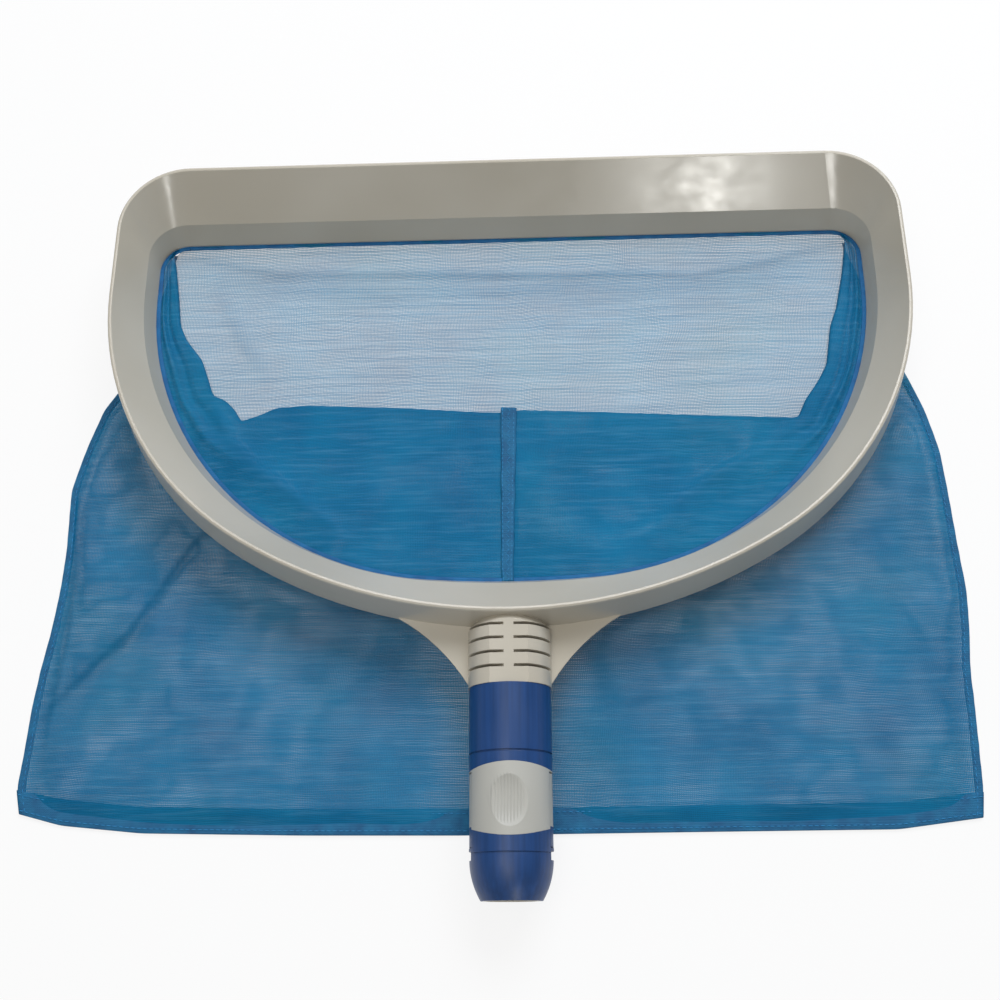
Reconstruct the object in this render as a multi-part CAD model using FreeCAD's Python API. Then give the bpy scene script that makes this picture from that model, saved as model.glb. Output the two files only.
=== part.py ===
import FreeCAD, Part
import math
import os

# Leaf skimmer net, lying flat with its mouth up. Millimetres.
# X runs across the mouth, +Y away from the handle, +Z up. The origin is on the surface
# that the net lies on, in the middle of the mouth's widest part.

Vector = FreeCAD.Vector
UP = Vector(0, 0, 1)
ALONG = Vector(0, 1, 0)

# Frame: outline of its top edge
frame_width = 508.0
frame_shoulder_radius = 198.0
frame_near_radius = 305.0
frame_far_y = 93.0
frame_corner_radius = 45.0

# Frame: outline of its inner edge, where the bag hangs
rim_side_run = 16.0
mouth_shoulder_radius = 201.0
mouth_near_radius = 662.0
mouth_shoulder_y = 19.0
mouth_far_y = 60.5
mouth_corner_radius = 19.5

# Frame: section
frame_top = 51.0
wall_height = 27.0
wall_lean = 4.0
wall_thickness = 2.4
crest_radius = 1.8
crease_run_share = 0.80
crease_drop_share = 0.63
lip_thickness = 1.2
flange_width = 11.0
flange_thickness = 2.2
rib_thickness = 1.8
rib_bite = 0.7
far_rib_spacing = 72.0
near_rib_angle = 18.0
boss_radius = 2.8
boss_height = 5.0
screw_track_share = 0.69

# Bag cloth, its hem in the clamp, and the ring that clamps it
cloth = 0.6
layer_gap = 0.2
layer_clearance = 0.3
ring_thickness = 2.0
ring_setback = 1.0
ring_clearance_below = 3.0
binding_show = 2.2
cloth_setback = 0.3
far_screw_spacing = 144.0
ring_screw_angles = (36.0, 72.0)
ring_screw_radius = 1.25
ring_screw_head_radius = 2.3
ring_screw_head_height = 1.2
screw_clearance = 0.05
head_clearance = 0.2

# Bag: where it lies
bag_waist_y = -47.0
bag_waist_overhang = 5.0
bag_hip_y = -118.0
bag_hip_overhang = 25.5
bag_hem_y = -333.0
bag_hem_overhang = 28.5
bag_lean = 10.5
bag_corner_radius = 14.0
fold_y = -69.0
hem_width = 15.0
hem_thickness = 1.9
side_seam_width = 5.0
centre_seam_width = 11.0
centre_seam_height = 0.5

# Handle: its stations along Y
collar_bite = 3.3
collar_taper = 9.0
collar_length = 34.5
grip_length = 91.5
tail_length = 25.0
finger_groove_from_front = 37.8
band_front_from_front = 43.8
band_front_sweep = 4.6
band_length = 39.4
band_rear_sweep = 5.5

# Handle: section
grip_half_width = 23.6
crest_offset = 0.5
core_wall = 1.75
pole_bore_radius = 14.45
pole_bore_length = 96.0
bore_relief = 0.5
bore_relief_half_length = 6.0
cored_bore_radius = 12.4
cored_bore_length = 48.0
shell_wall = 2.6
pad_thickness = 1.6
groove_depth = 0.8
groove_width = 1.1
tail_end_radius = 17.2
tail_shoulder_radius = 21.9
tail_shoulder_back = 14.0
tail_front_radius = 23.3
spigot_radius = 20.0
spigot_length = 4.0
spigot_clearance = 0.15
shell_rib_length = 3.5

# Collar: the flat on its top, its comb of slots and the web plates at its sides
collar_radius = 24.2
collar_flat_half_width = 11.0
slot_count = 4
slot_pitch = 8.1
slot_width = 1.6
slot_start = 9.4
slot_spine_half_width = 2.9
slot_floor = 5.2
slot_end_above_axis = 3.0
web_thickness = 2.4
web_reach = 66.0
web_depth_in_frame = 12.0

# Thumb dish in the top pad
dish_centre_x = -1.5
dish_from_band_front = 21.0
dish_half_width = 10.7
dish_half_length = 14.0
dish_depth = 2.8
dish_cutter_height = 10.0
dish_edge_rise = 0.37
dish_rim = 1.5
dish_plug_depth = 4.4

# Pole latches: one lever each side, squeezed at the pad end to draw its pin from the pole
lever_half_height = 8.5
lever_thickness = 2.8
lever_proud = -0.2
lever_pad_thickness = 1.2
lever_pivot_from_front = 65.5
lever_pad_reach = 16.5
lever_pin_reach = 18.0
lever_tail_reach = 23.0
pivot_x = 19.0
pivot_pin_radius = 1.25
pivot_pin_half_length = 10.6
pivot_hub_radius = 2.4
pivot_clearance = 0.05
lever_pin_radius = 3.1
lever_pin_engagement = 2.4
lever_pin_nose = 0.8
lever_gap = 0.7
lever_end_gap = 1.0
notch_length = 4.0
notch_depth = 1.6
pin_slot_half_length = 4.4
pin_slot_half_height = 3.5
pivot_block_length = 12.0
spring_strip = 0.5
spring_half_width = 1.6
spring_leg = 6.0
spring_from_pivot = 9.0
spring_seat_gap = 0.05

# Screws that hold the two grip shells together
shell_screw_x = 19.6
shell_screw_stations = (12.0, 32.0)
shell_screw_radius = 1.4
shell_screw_head_radius = 2.6
shell_screw_head_height = 1.8
shell_screw_head_drop = 9.0
shell_screw_rise = 8.0
shell_boss_radius = 3.4

# Directions, in degrees from +X
handle_side = -90.0
full_turn = 360.0

# Widths and heights that follow from the sizes above
mouth_width = frame_width - 2 * rim_side_run
bag_waist_half_width = frame_width / 2 + bag_waist_overhang
bag_hip_half_width = frame_width / 2 + bag_hip_overhang
bag_hem_half_width = frame_width / 2 + bag_hem_overhang
rim_underside = ring_clearance_below + ring_thickness + cloth
rim_top = rim_underside + lip_thickness
wall_bottom = frame_top - wall_height
bag_height = 2 * cloth + layer_gap + centre_seam_height
grip_half_height = math.sqrt((grip_half_width + crest_offset) ** 2 - crest_offset ** 2)
axis_z = bag_height + layer_clearance + grip_half_height
grip_top = axis_z + grip_half_height
core_radius = pole_bore_radius + core_wall


def line(start, end):
    return Part.LineSegment(start, end).toShape()


def arc(start, middle, end):
    return Part.Arc(start, middle, end).toShape()


def on_arc(centre_x, centre_y, radius, degrees, z):
    angle = math.radians(degrees)
    return Vector(centre_x + radius * math.cos(angle), centre_y + radius * math.sin(angle), z)


class Outline:
    """A closed curve of arcs, anticlockwise, with a straight edge wherever two arcs don't meet.

    Each arc is (centre x, centre y, radius, start, end), with its angles in degrees from +X. Outlines
    that are grown or blended keep their angles, so the faces between them have straight rulings.
    """

    def __init__(self, arcs):
        self.arcs = arcs

    def grown(self, by):
        return Outline([(x, y, radius + by, start, end) for x, y, radius, start, end in self.arcs])

    def blended(self, other, share):
        arcs = []
        for mine, theirs in zip(self.arcs, other.arcs):
            middle = [a + (b - a) * share for a, b in zip(mine[:3], theirs[:3])]
            arcs.append((middle[0], middle[1], middle[2], mine[3], mine[4]))
        return Outline(arcs)

    def point(self, degrees, z=0):
        """The point whose outward direction is at this angle."""
        for x, y, radius, start, end in self.arcs:
            if start <= degrees <= end:
                return on_arc(x, y, radius, degrees, z)

    def edges(self, z):
        found = []
        for index, (x, y, radius, start, end) in enumerate(self.arcs):
            points = [on_arc(x, y, radius, angle, z) for angle in (start, (start + end) / 2, end)]
            found.append(arc(*points))
            following = self.arcs[(index + 1) % len(self.arcs)]
            next_start = on_arc(following[0], following[1], following[2], following[3], z)
            if points[2].distanceToPoint(next_start) > 0.01:
                found.append(line(points[2], next_start))
        return found


def join_angle(width, shoulder_radius, near_radius):
    """Degrees from the handle's side at which the near arc meets the shoulder arc."""
    return math.degrees(math.asin((width / 2 - shoulder_radius) / (near_radius - shoulder_radius)))


def d_outline(width, shoulder_radius, near_radius, shoulder_y, far_y, corner_radius, breaks):
    """A D: near arc, shoulder arcs, straight sides, far corners and a straight far edge."""
    shoulder_x = width / 2 - shoulder_radius
    near_centre_y = shoulder_y + math.sqrt((near_radius - shoulder_radius) ** 2 - shoulder_x ** 2)
    own_join = join_angle(width, shoulder_radius, near_radius)
    corner_x = width / 2 - corner_radius
    corner_y = far_y - corner_radius
    inside, outside = sorted(breaks)
    handle_side_again = handle_side + full_turn

    def near_piece(side, start, end):
        middle = (start + end) / 2 - (handle_side if side > 0 else handle_side_again)
        if abs(middle) < own_join:
            return (0.0, near_centre_y, near_radius, start, end)
        return (side * shoulder_x, shoulder_y, shoulder_radius, start, end)

    return Outline([
        (0.0, near_centre_y, near_radius, handle_side - inside, handle_side + inside),
        near_piece(1, handle_side + inside, handle_side + outside),
        near_piece(1, handle_side + outside, 0),
        (corner_x, corner_y, corner_radius, 0, 90),
        (-corner_x, corner_y, corner_radius, 90, 180),
        near_piece(-1, 180, handle_side_again - outside),
        near_piece(-1, handle_side_again - outside, handle_side_again - inside),
    ])


frame_join = join_angle(frame_width, frame_shoulder_radius, frame_near_radius)
mouth_join = join_angle(mouth_width, mouth_shoulder_radius, mouth_near_radius)
outer = d_outline(frame_width, frame_shoulder_radius, frame_near_radius, 0.0,
                  frame_far_y, frame_corner_radius, (frame_join, mouth_join))
inner = d_outline(mouth_width, mouth_shoulder_radius, mouth_near_radius, mouth_shoulder_y,
                  mouth_far_y, mouth_corner_radius, (frame_join, mouth_join))

# Stations along the handle, which follow from the frame's near edge
collar_start_y = outer.point(handle_side).y + collar_bite
grip_front_y = collar_start_y - collar_taper - collar_length
grip_rear_y = grip_front_y - grip_length
tail_end_y = grip_rear_y - tail_length
band_front_y = grip_front_y - band_front_from_front
band_rear_y = band_front_y - band_length
pivot_y = grip_front_y - lever_pivot_from_front
latch_pin_y = pivot_y - lever_pin_reach


def concentric(here, there):
    if not all(isinstance(edge.Curve, Part.Circle) for edge in (here, there)):
        return False
    gap = here.Curve.Center - there.Curve.Center
    return math.hypot(gap.x, gap.y) < 0.001


def band_face(here, there):
    """The face between two matching edges of neighbouring outlines: flat, conical or ruled."""
    here_start = here.valueAt(here.FirstParameter)
    there_start = there.valueAt(there.FirstParameter)
    if isinstance(here.Curve, Part.Line):
        here_end = here.valueAt(here.LastParameter)
        there_end = there.valueAt(there.LastParameter)
        return Part.Face(Part.makePolygon([here_start, here_end, there_end, there_start, here_start]))
    if concentric(here, there):
        sweep = math.degrees(here.LastParameter - here.FirstParameter)
        return line(here_start, there_start).revolve(here.Curve.Center, UP, sweep)
    return Part.makeRuledSurface(here, there)


def ring_solid(section):
    """A closed ring round the mouth. section lists (outline, height) corners in order."""
    loops = [outline.edges(z) for outline, z in section]
    faces = []
    for index, loop in enumerate(loops):
        following = loops[(index + 1) % len(loops)]
        for here, there in zip(loop, following):
            faces.append(band_face(here, there))
    shell = Part.makeShell(faces)
    shell.sewShape(0.001)
    solid = Part.makeSolid(shell)
    if solid.Volume < 0:
        solid.reverse()
    return solid


def flat_ring(outside, inside, low, high):
    return ring_solid([(outside, low), (outside, high), (inside, high), (inside, low)])


def plate(wire, low, height):
    face = Part.Face(wire)
    face.translate(Vector(0, 0, low))
    return face.extrude(UP * height)


def outline_plate(outline, low, height):
    return plate(Part.Wire(outline.edges(0)), low, height)


def box(low, high):
    size = Vector(*high) - Vector(*low)
    return Part.makeBox(size.x, size.y, size.z, Vector(*low))


def post(radius, low, high, x, y):
    return Part.makeCylinder(radius, high - low, Vector(x, y, low), UP)


def join(shapes):
    whole = shapes[0].multiFuse(shapes[1:]) if len(shapes) > 1 else shapes[0]
    return whole.removeSplitter()


def one_solid(shape):
    """The single solid inside a boolean's result."""
    solids = shape.Solids
    return max(solids, key=lambda solid: solid.Volume)


# Frame moulding


def crest_points():
    """The rounded top edge, from the wall over to the ramp."""
    points = []
    for degrees in (0, 40, 80, 120):
        angle = math.radians(degrees)
        grow = crest_radius * (math.cos(angle) - 1)
        points.append((outer.grown(grow), frame_top - crest_radius * (1 - math.sin(angle))))
    return points


def ramp_crease():
    start = crest_points()[-1][0]
    height = frame_top - crease_drop_share * (frame_top - rim_top)
    return start.blended(inner, crease_run_share), height


def frame_section():
    crease, crease_z = ramp_crease()
    under_crest = frame_top - 2 * wall_thickness
    return (
        [(outer.grown(wall_lean), wall_bottom)]
        + crest_points()
        + [
            (crease, crease_z),
            (inner, rim_top),
            (inner, rim_underside),
            (inner.grown(flange_width), rim_underside),
            (inner.grown(flange_width), rim_underside + flange_thickness),
            (inner.grown(wall_thickness + 0.6), rim_underside + flange_thickness),
            (crease.grown(wall_thickness), crease_z - wall_thickness / 2),
            (outer.grown(-wall_thickness), under_crest),
            (outer.grown(wall_lean - wall_thickness), wall_bottom),
        ]
    )


def rib_fill():
    """The hollow under the frame, a little larger, from which the ribs are sliced."""
    crease, crease_z = ramp_crease()
    under_crest = frame_top - 2 * wall_thickness
    top_of_flange = rim_underside + flange_thickness
    return ring_solid([
        (outer.grown(wall_lean - wall_thickness + rib_bite), wall_bottom + rib_bite),
        (outer.grown(-wall_thickness), under_crest + rib_bite),
        (crease.grown(wall_thickness - rib_bite), crease_z - wall_thickness / 2 + rib_bite),
        (inner.grown(wall_thickness - rib_bite), top_of_flange),
        (inner.grown(wall_thickness), top_of_flange - rib_bite),
        (inner.grown(flange_width - rib_bite), top_of_flange - rib_bite),
    ])


def spread(spacing, reach):
    """Evenly spaced places either side of the middle, within reach."""
    count = int(reach / spacing)
    return [spacing * step for step in range(-count, count + 1)]


def rib_slab(x, y, turn):
    reach = 2 * (frame_width / 2 - mouth_width / 2) + 2 * flange_width + 30
    slab = box((-reach / 2, -rib_thickness / 2, 0), (reach / 2, rib_thickness / 2, frame_top))
    slab.rotate(Vector(0, 0, 0), UP, turn)
    slab.translate(Vector(x, y, 0))
    return slab


def rib_slabs():
    middle = outer.blended(inner, 0.5)
    slabs = []
    far_end = middle.point(90)
    for step in range(int(far_end.x / far_rib_spacing + 0.5)):
        for side in (-1, 1):
            slabs.append(rib_slab(side * far_rib_spacing * (step + 0.5), far_end.y, 90))
    for step in range(int(90 / near_rib_angle)):
        away = near_rib_angle * (step + 0.5)
        for direction in (handle_side + away, handle_side + full_turn - away):
            place = middle.point(direction)
            slabs.append(rib_slab(place.x, place.y, direction))
    return slabs


def ring_screw_places():
    """Centres of the screws that hold the clamp ring, on the middle of the flange."""
    track = inner.grown(flange_width * screw_track_share)
    places = [track.point(handle_side)]
    for degrees in ring_screw_angles:
        places.append(track.point(handle_side + degrees))
        places.append(track.point(handle_side + full_turn - degrees))
    for x in spread(far_screw_spacing, far_screw_spacing):
        places.append(Vector(x, track.point(90).y, 0))
    return places


def web_plate():
    """The flat web that joins the collar to the frame, with a swept edge at each side."""
    neck_y = grip_front_y + 1.0
    wall = outer.grown(wall_lean)
    near_arc = wall.arcs[0]
    root_y = near_arc[1] - math.sqrt(near_arc[2] ** 2 - web_reach ** 2)
    inside_y = root_y + web_depth_in_frame
    neck_x = collar_radius - 1.0
    sweep = Vector(web_reach * 0.62, root_y - (root_y - neck_y) * 0.46, 0)
    points = {
        "root": Vector(web_reach, root_y, 0),
        "neck": Vector(neck_x, neck_y, 0),
        "inside": Vector(web_reach - 6.0, inside_y, 0),
    }

    def mirrored(point):
        return Vector(-point.x, point.y, point.z)

    edges = [
        arc(points["root"], sweep, points["neck"]),
        line(points["neck"], mirrored(points["neck"])),
        arc(mirrored(points["neck"]), mirrored(sweep), mirrored(points["root"])),
        line(mirrored(points["root"]), mirrored(points["inside"])),
        line(mirrored(points["inside"]), points["inside"]),
        line(points["inside"], points["root"]),
    ]
    return plate(Part.Wire(edges), wall_bottom, web_thickness)


def along_handle(radius, start_y, end_y):
    """A round bar on the handle's axis, between two stations."""
    return Part.makeCylinder(radius, start_y - end_y, Vector(0, end_y, axis_z), ALONG)


def collar():
    """The neck between frame and grip: round with a flat on top, tapered to the frame."""
    end_y = grip_front_y
    profile = [
        Vector(0, collar_start_y + 2, 0),
        Vector(collar_radius - collar_taper - 2, collar_start_y + 2, 0),
        Vector(collar_radius, collar_start_y - collar_taper, 0),
        Vector(collar_radius, end_y, 0),
        Vector(0, end_y, 0),
    ]
    face = Part.Face(Part.makePolygon(profile + profile[:1]))
    solid = face.revolve(Vector(0, 0, 0), ALONG, 360)
    solid.translate(Vector(0, 0, axis_z))
    flat_z = axis_z + math.sqrt(collar_radius ** 2 - collar_flat_half_width ** 2)
    wide = 2 * collar_radius
    solid = solid.cut(box((-wide, end_y - 1, flat_z), (wide, collar_start_y + 5, flat_z + wide)))
    floor_cut = box((-wide, end_y - 1, -wide), (wide, collar_start_y + 5, 0))
    return solid.cut(floor_cut)


def collar_slots():
    """The comb of slots in the collar's top, each sloping down to the collar's side."""
    cuts = []
    for index in range(slot_count):
        y = collar_start_y - slot_start - slot_pitch * index
        for side in (-1, 1):
            profile = [
                Vector(side * slot_spine_half_width, y, 2 * frame_top),
                Vector(side * slot_spine_half_width, y, axis_z + collar_radius - slot_floor),
                Vector(side * (collar_radius - slot_floor), y, axis_z + slot_end_above_axis),
                Vector(side * 2 * collar_radius, y, axis_z + slot_end_above_axis),
                Vector(side * 2 * collar_radius, y, 2 * frame_top),
            ]
            face = Part.Face(Part.makePolygon(profile + profile[:1]))
            face.translate(Vector(0, -slot_width / 2, 0))
            cuts.append(face.extrude(ALONG * slot_width))
    return cuts


def inside_frame():
    """Everything that the frame's wall goes round, up to the middle of its thickness."""
    low = outer.grown(wall_lean - wall_thickness / 2)
    high = outer.grown(-wall_thickness / 2)
    loops = [low.edges(0), low.edges(wall_bottom), high.edges(frame_top - crest_radius)]
    return Part.makeLoft([Part.Wire(loop) for loop in loops], True, True)


def handle_root():
    """Collar, core tube and web, with the slots, the pole's bore and the latch openings cut.

    The bore is relieved round the latch pins, so the pole bears on a land at each end of it.
    """
    core = along_handle(core_radius, grip_front_y + 1, tail_end_y)
    solid = join([collar(), core, web_plate()])
    bore_end = tail_end_y + pole_bore_length
    cuts = collar_slots()
    cuts.append(along_handle(pole_bore_radius, bore_end, tail_end_y - 1))
    cuts.append(along_handle(cored_bore_radius, bore_end + cored_bore_length, bore_end - 1))
    cuts.append(along_handle(pole_bore_radius + bore_relief, latch_pin_y + bore_relief_half_length,
                             latch_pin_y - bore_relief_half_length))
    for side in (-1, 1):
        cuts.append(pin_slot(side))
    return one_solid(solid.cut(cuts).cut(inside_frame()))


def frame_moulding():
    boss_top = rim_underside + boss_height
    bosses = [post(boss_radius, rim_underside, boss_top, p.x, p.y) for p in ring_screw_places()]
    holes = [post(ring_screw_radius + screw_clearance, 0, boss_top - 1, p.x, p.y) for p in ring_screw_places()]
    rim = one_solid(ring_solid(frame_section()).multiFuse(bosses).cut(holes))
    inserts = [slab.common(rib_fill()) for slab in rib_slabs()]
    inserts.append(web_plate().common(rib_fill()))
    inserts.append(handle_root())
    return one_solid(rim.multiFuse(inserts))


# Bag and its clamp


def retaining_ring():
    ring = flat_ring(inner.grown(flange_width), inner.grown(ring_setback),
                     ring_clearance_below, ring_clearance_below + ring_thickness)
    cuts = []
    for place in ring_screw_places():
        hole = ring_screw_radius + screw_clearance
        cuts.append(post(hole, 0, rim_underside, place.x, place.y))
        seat = ring_screw_head_radius + head_clearance
        cuts.append(post(seat, 0, ring_clearance_below + ring_screw_head_height, place.x, place.y))
    return one_solid(ring.cut(cuts))


def ring_screws():
    screws = []
    for place in ring_screw_places():
        head_top = ring_clearance_below + ring_screw_head_height
        head = post(ring_screw_head_radius, ring_clearance_below, head_top, place.x, place.y)
        shank = post(ring_screw_radius, head_top - 0.2, rim_underside + boss_height - 2, place.x, place.y)
        screws.append(join([head, shank]))
    return Part.Compound(screws)


def mouth_binding():
    """The folded tape round the mouth: a flange in the clamp and a skirt down to the floor panel."""
    flange_low = ring_clearance_below + ring_thickness
    flange = flat_ring(inner.grown(flange_width), inner.grown(-binding_show), flange_low, rim_underside)
    skirt = flat_ring(inner.grown(-cloth_setback), inner.grown(-cloth_setback - cloth), cloth + 0.2, flange_low)
    near_side = box((-frame_width, -frame_width, -1), (frame_width, fold_y + 2.0, flange_low))
    skirt = skirt.cut(near_side)
    tape = join([flange, skirt])
    cuts = []
    for place in ring_screw_places():
        cuts.append(post(ring_screw_radius + 2 * screw_clearance, 0, frame_top, place.x, place.y))
    return one_solid(tape.cut(cuts))


def bag_edge(side, setback):
    """Corners of the bag's outline down one side, from the waist to the hem."""
    def lean(y):
        return -bag_lean * (y - bag_waist_y) / (bag_hem_y - bag_waist_y)

    waist = Vector(side * (bag_waist_half_width - setback), bag_waist_y, 0)
    hip = Vector(side * (bag_hip_half_width - setback) + lean(bag_hip_y), bag_hip_y, 0)
    hem = Vector(side * (bag_hem_half_width - setback) - bag_lean, bag_hem_y, 0)
    return waist, hip, hem


def point_at(start, end, y):
    share = (y - start.y) / (end.y - start.y)
    return start + (end - start) * share


def bag_wire(setback, top_y, end_y):
    """Outline of a flat layer of the bag, from top_y down to end_y."""
    right_waist, right_hip, right_hem = bag_edge(1, setback)
    left_waist, left_hip, left_hem = bag_edge(-1, setback)
    top_right = point_at(right_waist, right_hip, top_y)
    top_left = point_at(left_waist, left_hip, top_y)
    end_right = point_at(right_hip, right_hem, end_y)
    end_left = point_at(left_hip, left_hem, end_y)
    corners = [top_right, right_hip, end_right, end_left, left_hip, top_left]
    return Part.makePolygon(corners + corners[:1])


def bag_floor_panel():
    """The layer that lies on the ground, from the far side of the mouth to the hem."""
    low_part = plate(bag_wire(side_seam_width, bag_waist_y, bag_hem_y + hem_width), 0, cloth)
    mouth_part = outline_plate(inner.grown(-cloth_setback), 0, cloth)
    return one_solid(join([low_part, mouth_part]))


def bag_cover_panel():
    """The layer from the near rim inwards, folded back under and out to the hem."""
    low = cloth + layer_gap
    flange_low = ring_clearance_below + ring_thickness
    lower = plate(bag_wire(side_seam_width, fold_y, bag_hem_y + hem_width), low, cloth)
    near_half = box((-frame_width, -frame_width, flange_low - cloth), (frame_width, fold_y, flange_low))
    upper = outline_plate(inner.grown(-cloth_setback), flange_low - cloth, cloth).common(near_half)
    fold_width = upper.BoundBox.XLength / 2 - 2.0
    fold = box((-fold_width, fold_y - 1.5 * cloth, low), (fold_width, fold_y, flange_low))
    return one_solid(join([lower, upper, fold]))


def bottom_hem():
    right_waist, right_hip, right_hem = bag_edge(1, 0)
    left_waist, left_hip, left_hem = bag_edge(-1, 0)
    top_right = point_at(right_hip, right_hem, bag_hem_y + hem_width)
    top_left = point_at(left_hip, left_hem, bag_hem_y + hem_width)
    turn = bag_corner_radius
    soft = turn * (1 - math.sqrt(0.5))
    right_side = point_at(right_hip, right_hem, bag_hem_y + turn)
    left_side = point_at(left_hip, left_hem, bag_hem_y + turn)
    edges = [
        line(top_left, top_right),
        line(top_right, right_side),
        arc(right_side, Vector(right_hem.x - soft, bag_hem_y + soft, 0), Vector(right_hem.x - turn, bag_hem_y, 0)),
        line(Vector(right_hem.x - turn, bag_hem_y, 0), Vector(left_hem.x + turn, bag_hem_y, 0)),
        arc(Vector(left_hem.x + turn, bag_hem_y, 0), Vector(left_hem.x + soft, bag_hem_y + soft, 0), left_side),
        line(left_side, top_left),
    ]
    return plate(Part.Wire(edges), 0, hem_thickness)


def side_seam(side):
    """The rolled seam where the two layers meet along one side."""
    outside = bag_edge(side, 0)
    inside = bag_edge(side, side_seam_width)
    end_y = bag_hem_y + hem_width
    corners = [
        outside[0],
        outside[1],
        point_at(outside[1], outside[2], end_y),
        point_at(inside[1], inside[2], end_y),
        inside[1],
        inside[0],
    ]
    return plate(Part.makePolygon(corners + corners[:1]), 0, 2 * cloth + layer_gap)


def centre_seam():
    """The raised seam down the cover panel, on its folded part and on its lower part."""
    half = centre_seam_width / 2
    flange_low = ring_clearance_below + ring_thickness
    binding_y = inner.grown(-binding_show).point(handle_side).y + cloth_setback
    upper = box((-half, binding_y, flange_low), (half, fold_y - 0.5, flange_low + centre_seam_height))
    low = 2 * cloth + layer_gap
    lower = box((-half, bag_hem_y + hem_width, low), (half, fold_y - 1.5 * cloth, low + centre_seam_height))
    return Part.Compound([upper, lower])


# Handle


def lobed_wire(grow, y):
    """The grip's section: two wide arcs that meet in a soft crest at top and bottom."""
    radius = grip_half_width + crest_offset + grow
    height = math.sqrt(radius ** 2 - crest_offset ** 2)
    top = Vector(0, y, axis_z + height)
    bottom = Vector(0, y, axis_z - height)
    right = Vector(radius - crest_offset, y, axis_z)
    left = Vector(crest_offset - radius, y, axis_z)
    return Part.Wire([arc(bottom, right, top), arc(top, left, bottom)])


def lobed_bar(grow, start_y, end_y):
    return Part.Face(lobed_wire(grow, end_y)).extrude(ALONG * (start_y - end_y))


def lobed_sleeve(outside, inside, start_y, end_y):
    return lobed_bar(outside, start_y, end_y).cut(lobed_bar(inside, start_y + 1, end_y - 1))


def band_region():
    """Seen from above, the grey band's outline: both ends sweep back from the crest."""
    half = grip_half_width + 2
    front = arc(
        Vector(-half, band_front_y - band_front_sweep, 0),
        Vector(0, band_front_y, 0),
        Vector(half, band_front_y - band_front_sweep, 0),
    )
    rear = arc(
        Vector(half, band_rear_y + band_rear_sweep, 0),
        Vector(0, band_rear_y, 0),
        Vector(-half, band_rear_y + band_rear_sweep, 0),
    )
    right = line(Vector(half, band_front_y - band_front_sweep, 0), Vector(half, band_rear_y + band_rear_sweep, 0))
    left = line(Vector(-half, band_rear_y + band_rear_sweep, 0), Vector(-half, band_front_y - band_front_sweep, 0))
    return plate(Part.Wire([front, right, rear, left]), -1, 3 * frame_top)


def half_space(upper):
    wide = 2 * grip_half_width
    low = axis_z if upper else axis_z - wide
    return box((-wide, tail_end_y - 5, low), (wide, grip_front_y + 5, low + wide))


def lever_window(side):
    """The slot in the grip's flank that a latch lever moves in."""
    half = lever_half_height + lever_gap
    front = pivot_y + lever_pad_reach + lever_end_gap
    rear = pivot_y - lever_tail_reach - lever_end_gap / 2
    near_x = core_radius
    far_x = 2 * grip_half_width
    low_x, high_x = sorted((side * near_x, side * far_x))
    return box((low_x, rear, axis_z - half), (high_x, front, axis_z + half))


def pin_slot(side):
    """The opening in the core tube that a latch pin passes through."""
    low_x, high_x = sorted((0, side * (core_radius + 1)))
    return box(
        (low_x, latch_pin_y - pin_slot_half_length, axis_z - pin_slot_half_height),
        (high_x, latch_pin_y + pin_slot_half_length, axis_z + pin_slot_half_height),
    )


def groove(y):
    """A shallow finger groove round the grip."""
    return lobed_sleeve(2, -groove_depth, y + groove_width / 2, y - groove_width / 2)


def tail_notch(side):
    """The thumbnail notch behind a lever."""
    half = lever_half_height + lever_gap
    low_x, high_x = sorted((side * (grip_half_width - notch_depth), side * 2 * grip_half_width))
    front = grip_rear_y + lever_end_gap
    return box((low_x, grip_rear_y - notch_length, axis_z - half), (high_x, front, axis_z + half))


def shell_screw_places():
    return [(side * shell_screw_x, grip_front_y - back) for side in (-1, 1) for back in shell_screw_stations]


def grip_shell(upper):
    """Half of the blue grip: a skin, ribs that sit on the core tube, and screw bosses."""
    skin = lobed_sleeve(0, -shell_wall, grip_front_y, grip_rear_y)
    ribs = []
    rib_fronts = (
        grip_front_y,
        grip_front_y - finger_groove_from_front + shell_rib_length / 2,
        grip_rear_y + shell_rib_length,
    )
    for front in rib_fronts:
        ribs.append(lobed_bar(-shell_wall / 2, front, front - shell_rib_length))
    half_block = pivot_block_length / 2
    ribs.append(lobed_bar(-shell_wall / 2, pivot_y + half_block, pivot_y - half_block))
    ribs.append(along_handle(spigot_radius, grip_rear_y + 1, grip_rear_y - spigot_length))
    bosses = []
    for x, y in shell_screw_places():
        boss = post(shell_boss_radius, 0, 2 * axis_z, x, y)
        bosses.append(boss.common(lobed_bar(-shell_wall / 2, grip_front_y, grip_rear_y)))
    shell = join([skin] + ribs + bosses).common(half_space(upper))
    cuts = [along_handle(core_radius, grip_front_y + 1, tail_end_y)]
    cuts.append(lobed_sleeve(2, -pad_thickness, grip_front_y, grip_rear_y).common(band_region()))
    cuts.append(dish_plug())
    cuts.append(groove(grip_front_y - finger_groove_from_front))
    for side in (-1, 1):
        cuts.append(lever_window(side))
        cuts.append(tail_notch(side))
        cuts.append(pivot_pin(side))
    for x, y in shell_screw_places():
        cuts.append(post(shell_screw_radius, axis_z - shell_screw_head_drop, axis_z + shell_screw_rise, x, y))
        cuts.append(post(shell_screw_head_radius + head_clearance, -1, axis_z - shell_screw_head_drop, x, y))
    return one_solid(shell.cut(cuts))


def band_pad(upper):
    """Half of the grey soft band, let into the grip shell."""
    pad = lobed_sleeve(0, -pad_thickness, grip_front_y, grip_rear_y)
    pad = pad.common(band_region()).common(half_space(upper))
    cuts = []
    for side in (-1, 1):
        cuts.append(lever_window(side))
        cuts.append(pivot_pin(side, pivot_clearance))
    return pad.cut(cuts)


def dish_y():
    return band_front_y - dish_from_band_front


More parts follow.
